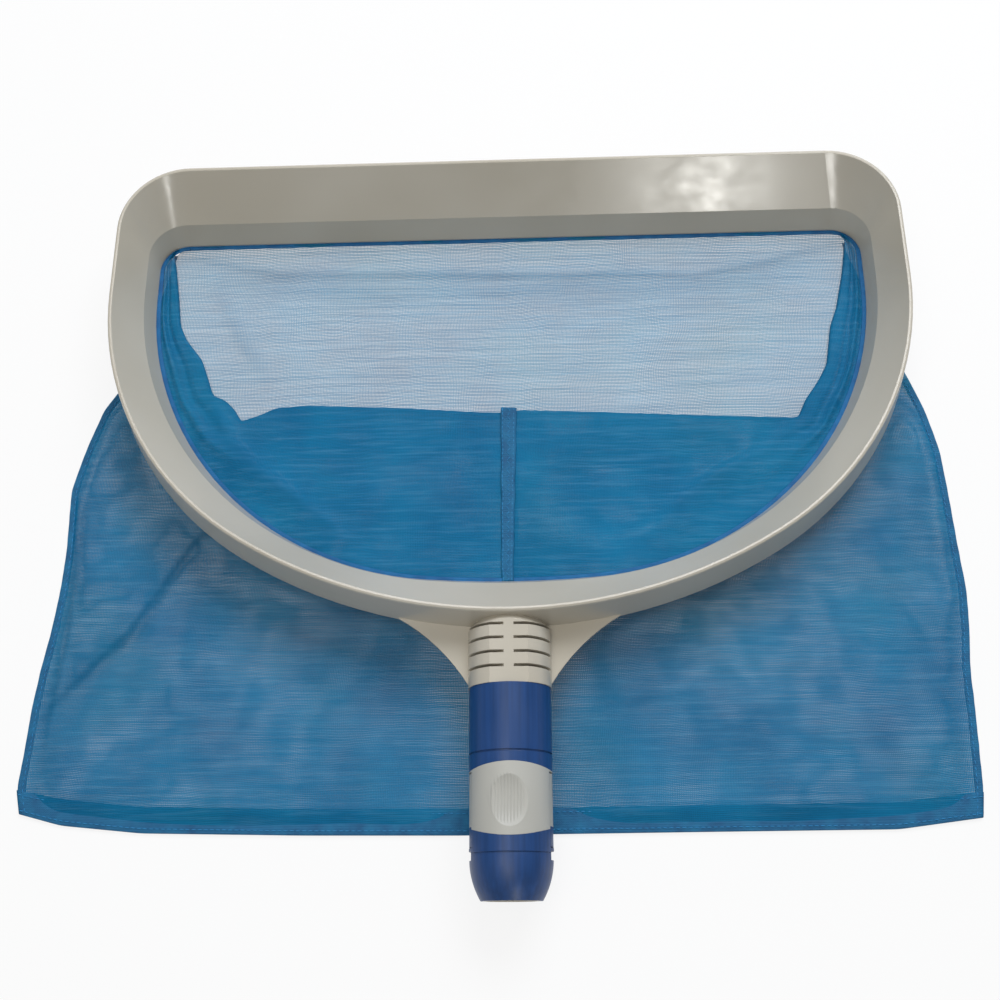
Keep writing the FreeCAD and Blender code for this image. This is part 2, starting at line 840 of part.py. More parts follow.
def dish_bowl():
    """The thumb's hollow: a wide stretched ball whose lowest point is dish_depth under the crest."""
    across = dish_half_width / math.sqrt(1 - (1 - dish_edge_rise / dish_cutter_height) ** 2)
    lengthwise = dish_half_length / math.sqrt(1 - (1 - dish_depth / dish_cutter_height) ** 2)
    stretch = FreeCAD.Matrix()
    stretch.scale(across, lengthwise, dish_cutter_height)
    bowl = Part.makeSphere(1).transformGeometry(stretch)
    bowl.translate(Vector(dish_centre_x, dish_y(), grip_top - dish_depth + dish_cutter_height))
    return bowl


def dish_plug():
    """The thick part of the pad under the dish."""
    ellipse = Part.Ellipse(Vector(0, 0, 0), dish_half_length + dish_rim, dish_half_width + dish_rim).toShape()
    ellipse.rotate(Vector(0, 0, 0), UP, 90)
    column = plate(Part.Wire([ellipse]), axis_z, grip_half_width)
    column.translate(Vector(dish_centre_x, dish_y(), 0))
    layer = lobed_sleeve(-pad_thickness / 2, -dish_plug_depth, grip_front_y, grip_rear_y)
    return column.common(layer)


def thumb_pad():
    """The upper half of the band, with the thumb dish."""
    pad = join([band_pad(True), dish_plug()])
    return one_solid(pad.cut(dish_bowl()))


def tail_ring():
    """The rounded end cap of the grip, round the mouth of the pole socket."""
    shoulder_y = grip_rear_y - tail_shoulder_back
    start = Vector(tail_front_radius, grip_rear_y, 0)
    shoulder = Vector(tail_shoulder_radius, shoulder_y, 0)
    end = Vector(tail_end_radius, tail_end_y, 0)
    edges = [
        line(Vector(core_radius, grip_rear_y, 0), start),
        arc(start, shoulder, end),
        line(end, Vector(core_radius, tail_end_y, 0)),
        line(Vector(core_radius, tail_end_y, 0), Vector(core_radius, grip_rear_y, 0)),
    ]
    ring = Part.Face(Part.Wire(edges)).revolve(Vector(0, 0, 0), ALONG, 360)
    ring.translate(Vector(0, 0, axis_z))
    cuts = [along_handle(spigot_radius + spigot_clearance, grip_rear_y + 1, grip_rear_y - spigot_length)]
    for side in (-1, 1):
        cuts.append(tail_notch(side))
    return one_solid(ring.cut(cuts))


# Pole latches


def lever_layer(side, outside, inside, front, rear):
    half = lever_half_height
    low_x, high_x = sorted((side * pole_bore_radius, side * 2 * grip_half_width))
    layer = lobed_sleeve(outside, inside, front, rear)
    return layer.common(box((low_x, rear - 1, axis_z - half), (high_x, front + 1, axis_z + half)))


def latch_lever(side):
    front = pivot_y + lever_pad_reach
    rear = pivot_y - lever_tail_reach
    arm = lever_layer(side, lever_proud, lever_proud - lever_thickness, front, rear)
    hub_half = lever_half_height + lever_gap / 2
    hub = post(pivot_hub_radius, axis_z - hub_half, axis_z + hub_half, side * pivot_x, pivot_y)
    outward = Vector(side, 0, 0)
    tip_x = pole_bore_radius - lever_pin_engagement
    shank_x = tip_x + lever_pin_nose
    root_x = grip_half_width + lever_proud - lever_thickness / 2
    shank_start = Vector(side * shank_x, latch_pin_y, axis_z)
    shank = Part.makeCylinder(lever_pin_radius, root_x - shank_x, shank_start, outward)
    nose_start = Vector(side * tip_x, latch_pin_y, axis_z)
    nose = Part.makeCone(lever_pin_radius - lever_pin_nose, lever_pin_radius, lever_pin_nose, nose_start, outward)
    pad_rear = band_rear_y + band_rear_sweep
    pad_room = lever_layer(side, lever_proud + 1, lever_proud - lever_pad_thickness, front, pad_rear)
    lever = join([arm, hub, shank, nose]).cut(pad_room)
    hole = post(pivot_pin_radius + pivot_clearance, 0, 2 * axis_z, side * pivot_x, pivot_y)
    return one_solid(lever.cut(hole))


def latch_pad(side):
    """The soft grey pad on a lever, in line with the band."""
    front = pivot_y + lever_pad_reach
    pad_rear = band_rear_y + band_rear_sweep
    return one_solid(lever_layer(side, lever_proud, lever_proud - lever_pad_thickness, front, pad_rear))


def pivot_pin(side, grow=0):
    return post(pivot_pin_radius + grow, axis_z - pivot_pin_half_length, axis_z + pivot_pin_half_length,
                side * pivot_x, pivot_y)


def latch_spring(side):
    """A leaf spring bent into a U, between the core tube and the lever's pad end."""
    seat_x = core_radius + spring_seat_gap
    reach_x = grip_half_width + lever_proud - lever_thickness - 2 * spring_seat_gap
    bend_y = pivot_y + spring_from_pivot
    layers = []
    for inset in (0, spring_strip):
        near_x = side * (seat_x + inset)
        away_x = side * (reach_x - inset)
        tip_y = bend_y - (reach_x - seat_x) / 2 + inset
        corners = [Vector(near_x, bend_y + spring_leg, 0), Vector(near_x, bend_y, 0),
                   Vector(away_x, bend_y, 0), Vector(away_x, bend_y + spring_leg, 0)]
        wire = Part.Wire([
            line(corners[0], corners[1]),
            arc(corners[1], Vector((near_x + away_x) / 2, tip_y, 0), corners[2]),
            line(corners[2], corners[3]),
            line(corners[3], corners[0]),
        ])
        layers.append(plate(wire, axis_z - spring_half_width, 2 * spring_half_width))
    return one_solid(layers[0].cut(layers[1]))


def grip_screws():
    screws = []
    for x, y in shell_screw_places():
        head_top = axis_z - shell_screw_head_drop
        head = post(shell_screw_head_radius, head_top - shell_screw_head_height, head_top, x, y)
        shank = post(shell_screw_radius, head_top - 0.2, axis_z + shell_screw_rise, x, y)
        screws.append(join([head, shank]))
    return Part.Compound(screws)


def nodes():
    yield "frame_moulding", frame_moulding()
    yield "net_retaining_ring", retaining_ring()
    yield "ring_screws", ring_screws()
    yield "mouth_binding", mouth_binding()
    yield "bag_floor_panel", bag_floor_panel()
    yield "bag_cover_panel", bag_cover_panel()
    yield "bag_bottom_hem", bottom_hem()
    yield "bag_centre_seam", centre_seam()
    yield "grip_upper_shell", grip_shell(True)
    yield "grip_lower_shell", grip_shell(False)
    yield "thumb_pad", thumb_pad()
    yield "palm_pad", one_solid(band_pad(False))
    yield "tail_ring", tail_ring()
    yield "grip_screws", grip_screws()
    for side, name in ((-1, "left"), (1, "right")):
        yield "bag_side_seam_" + name, side_seam(side)
        yield "latch_lever_" + name, latch_lever(side)
        yield "latch_pad_" + name, latch_pad(side)
        yield "latch_pivot_pin_" + name, pivot_pin(side)
        yield "latch_spring_" + name, latch_spring(side)


os.makedirs("parts", exist_ok=True)
for name, shape in nodes():
    shape.exportStep("parts/" + name + ".step")
    print(name, len(shape.Solids), round(shape.Volume), shape.isValid())
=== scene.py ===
import math
import random

import bpy
import numpy as np
from mathutils import Matrix, Vector, noise


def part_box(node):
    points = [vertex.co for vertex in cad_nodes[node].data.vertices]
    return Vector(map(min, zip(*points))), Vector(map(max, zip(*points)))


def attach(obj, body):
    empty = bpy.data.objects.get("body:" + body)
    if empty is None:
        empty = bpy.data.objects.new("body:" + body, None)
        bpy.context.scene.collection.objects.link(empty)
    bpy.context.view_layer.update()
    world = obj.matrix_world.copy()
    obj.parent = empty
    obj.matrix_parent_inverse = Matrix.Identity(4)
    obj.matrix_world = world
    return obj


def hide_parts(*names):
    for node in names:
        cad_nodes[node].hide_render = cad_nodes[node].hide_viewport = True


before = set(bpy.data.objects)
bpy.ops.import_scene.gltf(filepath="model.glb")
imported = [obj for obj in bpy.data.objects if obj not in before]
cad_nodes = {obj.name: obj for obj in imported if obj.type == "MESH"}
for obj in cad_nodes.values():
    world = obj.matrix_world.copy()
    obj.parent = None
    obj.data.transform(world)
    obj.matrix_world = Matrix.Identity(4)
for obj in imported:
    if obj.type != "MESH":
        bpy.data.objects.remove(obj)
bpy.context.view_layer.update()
ROOT = "net_and_handle"
LEFT, RIGHT = -1, 1

# The mouth's outline, as in the CAD model, in metres
mouth_half_width = 0.238
shoulder_radius = 0.201
near_radius = 0.662
shoulder_y = 0.019
mouth_far_y = 0.0605
corner_radius = 0.0195

# Heights of the cloth layers over the floor
floor_layer_z = 0.0005
cover_low_z = 0.0017
rim_cloth_z = 0.0048
fold_top_z = 0.0066
fold_radius = 0.0022

# Sizes of the tapes and threads
hem_width = 0.0150
hem_thickness = 0.0019
side_seam_width = 0.0046
side_seam_thickness = 0.0014
centre_seam_width = 0.0092
stitch_length = 0.0026
stitch_pitch = 0.0036
stitch_radius = 0.00028
thread_sides = 6
thread_sections = (0.0, 0.25, 0.5, 0.75, 1.0)
tape_lift = 0.0002
bag_side_length = 0.36
thread_pitch = 0.00098
streak_pitch = 0.0023

# Places read from the photograph, in metres on the floor: (x, y)
corner_left = [(-0.2185, 0.0600), (-0.2260, 0.0585), (-0.2320, 0.0545), (-0.2362, 0.0480),
               (-0.2375, 0.0380)]
corner_right = [(0.2185, 0.0600), (0.2260, 0.0585), (0.2320, 0.0545), (0.2362, 0.0480),
                (0.2375, 0.0380)]
side_left = [(-0.2385, 0.0190), (-0.2420, -0.0060), (-0.2585, -0.0457), (-0.2677, -0.0600),
             (-0.2765, -0.0880), (-0.2830, -0.1160), (-0.2815, -0.1570), (-0.2823, -0.1830),
             (-0.2849, -0.2090), (-0.2886, -0.2340), (-0.2911, -0.2580), (-0.2922, -0.2820),
             (-0.2938, -0.3055), (-0.2905, -0.3195)]
side_right = [(0.2385, 0.0190), (0.2430, -0.0060), (0.2595, -0.0490), (0.2676, -0.0720),
              (0.2735, -0.1000), (0.2750, -0.1270), (0.2765, -0.1670), (0.2779, -0.1920),
              (0.2763, -0.2170), (0.2735, -0.2410), (0.2731, -0.2650), (0.2722, -0.2880),
              (0.2713, -0.3110), (0.2690, -0.3265)]
hem_line = [(-0.2905, -0.3195), (-0.2650, -0.3262), (-0.2170, -0.3310), (-0.1230, -0.3330),
            (-0.0300, -0.3338), (0.1075, -0.3330), (0.2210, -0.3325), (0.2690, -0.3265)]
far_lip = [(-0.2185, 0.0600), (0.2185, 0.0600)]
fold_left = [(-0.2306, 0.0553), (-0.2281, 0.0473), (-0.2240, 0.0231), (-0.2207, -0.0006),
             (-0.2152, -0.0120), (-0.2040, -0.0264), (-0.1989, -0.0405), (-0.1946, -0.0529),
             (-0.1864, -0.0560), (-0.1793, -0.0633), (-0.1747, -0.0720)]
fold_middle = [(-0.1747, -0.0720), (-0.1625, -0.0677), (-0.1517, -0.0625), (-0.1294, -0.0613),
               (-0.0704, -0.0644), (-0.0087, -0.0694), (0.0075, -0.0676), (0.0590, -0.0702),
               (0.1229, -0.0738), (0.1857, -0.0770)]
fold_right = [(0.1857, -0.0770), (0.1912, -0.0648), (0.2007, -0.0516), (0.2074, -0.0396),
              (0.2123, -0.0120), (0.2176, 0.0012), (0.2242, 0.0282), (0.2284, 0.0515)]
lip_crease = [(-0.2308, 0.0572), (-0.1809, 0.0439), (-0.1564, 0.0392), (-0.0051, 0.0342),
              (0.1303, 0.0311), (0.1711, 0.0377), (0.1988, 0.0462), (0.2262, 0.0517)]
main_fold = [(-0.1872, -0.1452), (-0.1963, -0.1510), (-0.2153, -0.1822), (-0.2332, -0.2119),
             (-0.2485, -0.2268), (-0.2641, -0.2420), (-0.2848, -0.2643)]
edge_fold = [(-0.2697, -0.1715), (-0.2727, -0.1897), (-0.2727, -0.2107), (-0.2750, -0.2388),
             (-0.2786, -0.2643), (-0.2803, -0.2998)]
inner_fold_left = [(-0.2006, -0.0417), (-0.1828, -0.0850), (-0.1625, -0.1070), (-0.1402, -0.1239),
                   (-0.1190, -0.1411), (-0.0999, -0.1580)]
inner_fold_right = [(0.1868, -0.0827), (0.1598, -0.1035), (0.1344, -0.1152), (0.1095, -0.1335),
                    (0.0845, -0.1600)]
light_streak = [(-0.2009, 0.0327), (-0.1807, -0.0100), (-0.1581, -0.0476)]
notch_share = 0.2

# Floor, light and camera, in metres and watts
floor_half_size = 4.0
floor_drop = 0.0004
white_share = 0.84
room_light = 0.33
light_target = (0.0, -0.12, 0.0)
camera_place = Vector((0.019907, -0.387524, 0.717357))
camera_right = Vector((0.99924947, -0.0057401, -0.03830851))
camera_up = Vector((0.01843104, 0.94029254, 0.33986797))

random.seed(7)


def linear(red, green, blue):
    """A colour written as 0 to 255 on screen, as the shader wants it."""
    def one(value):
        """One channel."""
        value = value / 255
        return value / 12.92 if value <= 0.04045 else ((value + 0.055) / 1.055) ** 2.4
    return (one(red), one(green), one(blue), 1.0)


def shaded(colour, share, lift=0.0):
    """The same colour, darker or lighter by a share."""
    return tuple(min(1.0, value * share + lift) for value in colour[:3]) + (1.0,)


# Curves and grids


def along(points, shares):
    """Points at these shares of a polyline's length."""
    points = np.asarray(points, float)
    steps = np.linalg.norm(np.diff(points, axis=0), axis=1)
    place = np.concatenate([[0.0], np.cumsum(steps)])
    wanted = np.asarray(shares) * place[-1]
    return np.stack([np.interp(wanted, place, points[:, axis]) for axis in range(points.shape[1])], axis=1)


def smooth(points, times):
    """Evens out a polyline's corners and keeps its ends."""
    points = np.array(points, float)
    for _ in range(times):
        points[1:-1] = 0.25 * points[:-2] + 0.5 * points[1:-1] + 0.25 * points[2:]
    return points


def shifted(line, across, up):
    """The same line, moved."""
    return [(x + across, y + up) for x, y in line]


def mouth_point(degrees, inset=0.0):
    """The point of the mouth's outline whose outward direction is at this angle."""
    shoulder_x = mouth_half_width - shoulder_radius
    near_y = shoulder_y + math.sqrt((near_radius - shoulder_radius) ** 2 - shoulder_x ** 2)
    join = math.degrees(math.asin(shoulder_x / (near_radius - shoulder_radius)))
    turn = degrees % 360
    side = LEFT if 90 <= turn < 270 else RIGHT
    from_near = abs(turn - 270)
    if turn <= 180:
        centre = (side * (mouth_half_width - corner_radius), mouth_far_y - corner_radius)
        radius = corner_radius
    elif from_near < join:
        centre = (0.0, near_y)
        radius = near_radius
    else:
        centre = (side * shoulder_x, shoulder_y)
        radius = shoulder_radius
    angle = math.radians(turn)
    reach = radius - inset
    return centre[0] + reach * math.cos(angle), centre[1] + reach * math.sin(angle)


def mouth_curve(start, end, inset, count):
    """A stretch of the mouth between two angles, in even steps."""
    dense = [mouth_point(start + (end - start) * step / 900, inset) for step in range(901)]
    return along(dense, np.linspace(0, 1, count))


def coons(top, bottom, left, right):
    """The smooth patch between four edges, as rows from top to bottom."""
    rows, columns = len(left), len(top)
    u = np.linspace(0, 1, columns)[None, :, None]
    v = np.linspace(0, 1, rows)[:, None, None]
    ruled_down = (1 - v) * top[None] + v * bottom[None]
    ruled_across = (1 - u) * left[:, None] + u * right[:, None]
    corners = ((1 - u) * (1 - v) * top[0] + u * (1 - v) * top[-1]
               + (1 - u) * v * bottom[0] + u * v * bottom[-1])
    return ruled_down + ruled_across - corners


def nearest(xy, line):
    """Distance to a polyline, the side it is on, and the share of the way along it."""
    shape = xy.shape[:-1]
    flat = xy.reshape(-1, 2)
    line = np.asarray(line, float)
    best = np.full(len(flat), 1e9)
    side = np.zeros(len(flat))
    share = np.zeros(len(flat))
    for index in range(len(line) - 1):
        start, step = line[index], line[index + 1] - line[index]
        along_it = np.clip(((flat - start) @ step) / (step @ step), 0, 1)
        away = flat - (start + along_it[:, None] * step)
        distance = np.linalg.norm(away, axis=1)
        closer = distance < best
        best[closer] = distance[closer]
        side[closer] = (step[0] * away[:, 1] - step[1] * away[:, 0])[closer]
        share[closer] = ((index + along_it) / (len(line) - 1))[closer]
    return best.reshape(shape), np.sign(side).reshape(shape), share.reshape(shape)


def ridge(xy, line, height, left_width, right_width, taper=0.6):
    """A fold along a line: it falls away over one width on its left and another on its right."""
    distance, side, share = nearest(xy, line)
    width = np.where(side > 0, left_width, right_width)
    ends = np.sin(np.pi * share) ** taper
    return height * np.exp(-(distance / width) ** 2) * ends


def ripple(xy, per_metre, seed, stretch=(1.0, 1.0)):
    """Smooth noise from -1 to 1 at each point."""
    flat = xy.reshape(-1, 2)
    values = [noise.noise(Vector((x * per_metre * stretch[0], y * per_metre * stretch[1], seed)))
              for x, y in flat]
    return np.array(values).reshape(xy.shape[:-1])


def step_up(value, low, high):
    """0 below low, 1 above high, and a smooth rise between."""
    share = np.clip((value - low) / (high - low), 0, 1)
    return share * share * (3 - 2 * share)


# Meshes


def mesh_object(name, vertices, faces, values=None):
    """A smooth-shaded object, with named values on its points."""
    mesh = bpy.data.meshes.new(name)
    mesh.from_pydata([tuple(v) for v in vertices], [], faces)
    mesh.validate()
    for key, numbers in (values or {}).items():
        attribute = mesh.attributes.new(key, "FLOAT", "POINT")
        attribute.data.foreach_set("value", np.asarray(numbers, np.float32).ravel())
    for polygon in mesh.polygons:
        polygon.use_smooth = True
    made = bpy.data.objects.new(name, mesh)
    bpy.context.scene.collection.objects.link(made)
    return made


def grid_faces(rows, columns, closed=False):
    """The four-sided faces of a grid of points, closed across if wanted."""
    faces = []
    for row in range(rows - 1):
        for column in range(columns if closed else columns - 1):
            across = (column + 1) % columns
            faces.append((row * columns + column, row * columns + across,
                          (row + 1) * columns + across, (row + 1) * columns + column))
    return faces


def grid_object(name, points, values=None):
    """A sheet from a grid of points."""
    rows, columns = points.shape[:2]
    return mesh_object(name, points.reshape(-1, 3), grid_faces(rows, columns), values)


def rounded_profile(width, height, power=4.0, count=20):
    """A flattened ring of points, (across, up), for a tape with soft edges."""
    points = []
    for step in range(count):
        angle = 2 * math.pi * step / count
        cosine, sine = math.cos(angle), math.sin(angle)
        across = math.copysign(abs(cosine) ** (2 / power), cosine) * width / 2
        up = math.copysign(abs(sine) ** (2 / power), sine) * height / 2
        points.append((across, up))
    return points


def sweep(name, path, profile, closed=False, scales=None):
    """A tape or thread: the profile carried along a path of 3-D points, its 'up' kept near +Z."""
    path = np.asarray(path, float)
    count = len(path)
    rings = []
    for index in range(count):
        before = path[(index - 1) % count] if closed or index else path[0]
        after = path[(index + 1) % count] if closed or index < count - 1 else path[-1]
        forward = Vector(after - before).normalized()
        across = forward.cross(Vector((0, 0, 1)))
        across = across.normalized() if across.length > 1e-6 else Vector((1, 0, 0))
        up = across.cross(forward).normalized()
        scale = scales[index] if scales is not None else 1.0
        for a, b in profile:
            rings.append(Vector(path[index]) + across * a * scale + up * b)
    ring = len(profile)
    faces = grid_faces(count, ring, closed=True)
    if closed:
        last = (count - 1) * ring
        faces += [(last + i, last + (i + 1) % ring, (i + 1) % ring, i) for i in range(ring)]
    else:
        faces += [tuple(range(ring))[::-1], tuple((count - 1) * ring + i for i in range(ring))]
    return mesh_object(name, rings, faces)


def ribbon(name, outer, inner, thickness, z):
    """A flat band between two edges of equal count, with rounded sides."""
    profile = rounded_profile(1.0, thickness, 5)
    rings = []
    for out, into in zip(outer, inner):
        middle, across = (out + into) / 2, into - out
        rings += [(middle[0] + across[0] * a, middle[1] + across[1] * a, z + b) for a, b in profile]
    ring = len(profile)
    last = (len(outer) - 1) * ring
    faces = grid_faces(len(outer), ring, closed=True)
    faces += [tuple(range(ring))[::-1], tuple(last + i for i in range(ring))]
    return mesh_object(name, rings, faces)


def join_objects(name, objects):
    """One object from many small ones."""
    bpy.ops.object.select_all(action="DESELECT")
    for other in objects:
        other.select_set(True)
    bpy.context.view_layer.objects.active = objects[0]
    bpy.ops.object.join()
    joined = bpy.context.view_layer.objects.active
    joined.name = name
    joined.data.name = name
    joined.select_set(False)
    return joined


def stitches(name, path, pitch=stitch_pitch, swing=0.0):
    """A row of short thread loops along a path, each a little arched."""
    path = np.asarray(path, float)
    total = np.linalg.norm(np.diff(path, axis=0), axis=1).sum()
    count = max(2, int(total / pitch))
    vertices, faces = [], []
    last = (len(thread_sections) - 1) * thread_sides
    for number in range(count):
        centre = (number + 0.5) / count
        half = 0.5 * stitch_length / total
        wobble = random.uniform(-0.12, 0.12) * half
        points = along(path, [centre - half + wobble, centre, centre + half + wobble])
        forward = Vector(points[2] - points[0]).normalized()
        across = forward.cross(Vector((0, 0, 1))).normalized()
        lean = swing * (1 if number % 2 else -1)
        base = len(vertices)
        for share in thread_sections:
            swell = math.sin(math.pi * share)
            spot = Vector(points[0]).lerp(Vector(points[2]), share)
            spot += across * lean * (share - 0.5) * 2
            spot.z += stitch_radius * 1.6 * swell - stitch_radius * 0.4
            thick = stitch_radius * (0.55 + 0.45 * swell)
            for side in range(thread_sides):
                angle = 2 * math.pi * side / thread_sides
                beside = spot + across * thick * math.cos(angle)
                vertices.append(beside + Vector((0, 0, thick * math.sin(angle))))
        walls = grid_faces(len(thread_sections), thread_sides, closed=True)
        faces += [tuple(base + i for i in face) for face in walls]
        faces += [tuple(base + i for i in range(thread_sides))[::-1],
                  tuple(base + last + i for i in range(thread_sides))]
    return mesh_object(name, vertices, faces)


# Materials


def new_tree(name):
    """A new material, its nodes and its shader."""
    material = bpy.data.materials.new(name)
    material.use_nodes = True
    return material, material.node_tree, material.node_tree.nodes["Principled BSDF"]


def add(tree, kind, values=None, **settings):
    """A shader node, with its sockets linked or set."""
    made = tree.nodes.new("ShaderNode" + kind)
    for key, value in settings.items():
        setattr(made, key, value)
    for key, value in (values or {}).items():
        if isinstance(value, bpy.types.NodeSocket):
            tree.links.new(value, made.inputs[key])
        else:
            made.inputs[key].default_value = value
    return made


def calc(tree, operation, first, second=0.0, third=0.0):
    """One sum in a material."""
    return add(tree, "Math", {0: first, 1: second, 2: third}, operation=operation).outputs[0]


def mapped(tree, value, low, high, to_low=0.0, to_high=1.0):
    """A value carried from one range to another and kept inside it."""
    made = add(tree, "MapRange", {"Value": value, "From Min": low, "From Max": high,
                                  "To Min": to_low, "To Max": to_high})
    return made.outputs["Result"]


def mixed(tree, factor, first, second):
    """Two colours mixed."""
    made = add(tree, "Mix", {0: factor, 6: first, 7: second}, data_type="RGBA")
    return made.outputs[2]


def place(tree, scale=(1, 1, 1)):
    """Real places in metres, stretched by scale."""
    coordinates = add(tree, "TexCoord").outputs["Object"]
    return add(tree, "Mapping", {"Vector": coordinates, "Scale": scale}).outputs["Vector"]


def cloud(tree, scale, detail=3.0, stretch=(1, 1, 1), rough=0.5):
    """Cloudy noise from 0 to 1."""
    made = add(tree, "TexNoise", {"Vector": place(tree, stretch), "Scale": scale, "Detail": detail,
                                  "Roughness": rough})
    return made.outputs["Fac"]


def edge_normal(tree, radius=0.0005):
    """A normal that rounds sharp edges in the shading."""
    return add(tree, "Bevel", {"Radius": radius}, samples=4).outputs["Normal"]


def plastic(name, colour, shade, roughness=(0.24, 0.36), grain=0.12, edge=0.0005):
    """Moulded plastic: slightly uneven colour and gloss, softened edges and a fine skin."""
    material, tree, shader = new_tree(name)
    drift = mapped(tree, cloud(tree, 9.0, 2.0), 0.3, 0.7)
    tree.links.new(mixed(tree, drift, colour, shade), shader.inputs["Base Color"])
    gloss = mapped(tree, cloud(tree, 60.0, 4.0), 0.3, 0.7, *roughness)
    tree.links.new(gloss, shader.inputs["Roughness"])
    skin = cloud(tree, 1600.0, 2.0)
    bump = add(tree, "Bump", {"Height": skin, "Strength": grain, "Distance": 0.0001,
                              "Normal": edge_normal(tree, edge)})
    tree.links.new(bump.outputs["Normal"], shader.inputs["Normal"])
    return material


def streaked_plastic(name, colour, shade, roughness):
    """Soft-touch plastic with faint lengthwise streaks, as on the grip."""
    material = plastic(name, colour, shade, roughness, grain=0.2, edge=0.0004)
    tree = material.node_tree
    shader = tree.nodes["Principled BSDF"]
    streaks = mapped(tree, cloud(tree, 1.0, 3.0, (420, 12, 420)), 0.35, 0.7)
    colour_link = shader.inputs["Base Color"].links[0].from_socket
    lighter = shaded(colour, 1.5, 0.004)
    share = calc(tree, "MULTIPLY", streaks, 0.35)
    tree.links.new(mixed(tree, share, colour_link, lighter), shader.inputs["Base Color"])
    return material


def steel(name, colour, roughness):
    """Plain metal with a fine uneven grain."""
    material, tree, shader = new_tree(name)
    shader.inputs["Metallic"].default_value = 1.0
    grain = cloud(tree, 900.0, 3.0)
    dull = shaded(colour, 0.7)
    tree.links.new(mixed(tree, grain, colour, dull), shader.inputs["Base Color"])
    tree.links.new(mapped(tree, grain, 0.3, 0.7, roughness, roughness + 0.15), shader.inputs["Roughness"])
    return material


def thread_lines(tree, value, pitch, half_width, soft):
    """1 on the threads that repeat along this value, 0 between them."""
    phase = calc(tree, "FRACT", calc(tree, "DIVIDE", value, pitch))
    from_middle = calc(tree, "ABSOLUTE", calc(tree, "SUBTRACT", phase, 0.5))
    edge = calc(tree, "SUBTRACT", half_width, from_middle)
    return mapped(tree, edge, -soft, soft)


def wavy_place(tree, reach):
    """X and Y in metres, with the cloth's slow waver added."""
    coordinates = add(tree, "TexCoord").outputs["Object"]
    waver = add(tree, "TexNoise", {"Vector": coordinates, "Scale": 16.0, "Detail": 2.0}).outputs["Color"]
    centred = add(tree, "VectorMath", {0: waver, 1: (0.5, 0.5, 0.5)}, operation="SUBTRACT").outputs[0]
    shift = add(tree, "VectorMath", {0: centred, "Scale": reach}, operation="SCALE").outputs[0]
    moved = add(tree, "VectorMath", {0: coordinates, 1: shift}, operation="ADD").outputs[0]
    parts = add(tree, "SeparateXYZ", {0: moved})
    return parts.outputs["X"], parts.outputs["Y"]


def mesh_cloth(name, dark, bright, worn, weft, warp, sheen_share, haze):
    """Open knitted netting: threads both ways, hazy between, denser where the cloth is bunched, with painted
    sheen streaks along the threads and painted shade in the bunched folds.
    """
    material, tree, shader = new_tree(name)
    x, y = wavy_place(tree, 0.010)
    slub = cloud(tree, 1.0, 4.0, (14, 520, 300), 0.62)
    weft_half = mapped(tree, slub, 0.32, 0.68, weft * 0.78, weft * 1.22)
    across = thread_lines(tree, y, thread_pitch, weft_half, 0.10)
    down = thread_lines(tree, x, thread_pitch, warp, 0.10)
    threads = calc(tree, "MAXIMUM", across, down)
    streak = thread_lines(tree, y, streak_pitch, mapped(tree, slub, 0.35, 0.65, 0.06, 0.22), 0.16)
    cover = calc(tree, "MAXIMUM", threads, calc(tree, "MULTIPLY", streak, 0.40))
    cover = mapped(tree, cover, 0.0, 1.0, haze, 0.96)
    # The bunching mask: denser cloth in the alpha, and painted shade in the colour below.
    bunch_and_shade = add(tree, "Attribute", attribute_name="bunch_and_shade").outputs["Fac"]
    solid = calc(tree, "MULTIPLY", calc(tree, "SUBTRACT", 1.0, cover), bunch_and_shade)
    alpha = calc(tree, "ADD", cover, solid)
    alpha = calc(tree, "MINIMUM", alpha, 1.0)
    tree.links.new(alpha, shader.inputs["Alpha"])

    patches = mapped(tree, cloud(tree, 17.0, 4.0, (1, 1, 1), 0.6), 0.20, 0.82)
    tone = mixed(tree, patches, dark, bright)
    teal_patches = mapped(tree, cloud(tree, 10.0, 2.0, (1, 1.3, 4), 0.5), 0.50, 0.72, 0.0, 0.22)
    tone = mixed(tree, teal_patches, tone, worn)
    # Painted sheen: lighter, whitish streaks along the threads stand in for their gloss.
    sheen_lines = mapped(tree, cloud(tree, 1.0, 3.0, (22, 430, 200), 0.6), 0.48, 0.76)
    painted_sheen_tone = mixed(tree, calc(tree, "MULTIPLY", sheen_lines, sheen_share), tone, linear(110, 170, 205))
    # Painted shade: where the cloth is bunched, the colour is darkened toward half the dark blue, as shade
    # in the folds. The denser cloth itself is in the alpha.
    shadow = mixed(tree, calc(tree, "MULTIPLY", bunch_and_shade, 0.45), painted_sheen_tone, shaded(dark, 0.5))
    tree.links.new(shadow, shader.inputs["Base Color"])
    shader.inputs["Roughness"].default_value = 0.6
    shader.inputs["Specular IOR Level"].default_value = 0.12
    round_threads = calc(tree, "ADD", across, down)
    bump = add(tree, "Bump", {"Height": round_threads, "Strength": 0.35, "Distance": 0.0002})
    tree.links.new(bump.outputs["Normal"], shader.inputs["Normal"])
    return material


def tape(name, colour, light, pitch=0.0011):
    """Closely woven tape: fine ribs across and lengthwise thread marks."""
    material, tree, shader = new_tree(name)
    x, y = wavy_place(tree, 0.003)
    ribs = thread_lines(tree, calc(tree, "ADD", x, y), pitch, 0.25, 0.2)
    lines = thread_lines(tree, y, pitch * 1.3, 0.25, 0.2)
    drift = mapped(tree, cloud(tree, 120.0, 4.0), 0.3, 0.7)
    tone = mixed(tree, drift, colour, light)
    dark = shaded(colour, 0.55)
    tone = mixed(tree, calc(tree, "MULTIPLY", ribs, 0.3), tone, dark)
    tree.links.new(tone, shader.inputs["Base Color"])
    shader.inputs["Roughness"].default_value = 0.7
    height = calc(tree, "ADD", ribs, lines)
    bump = add(tree, "Bump", {"Height": height, "Strength": 0.5, "Distance": 0.0003})
    tree.links.new(bump.outputs["Normal"], shader.inputs["Normal"])
    return material


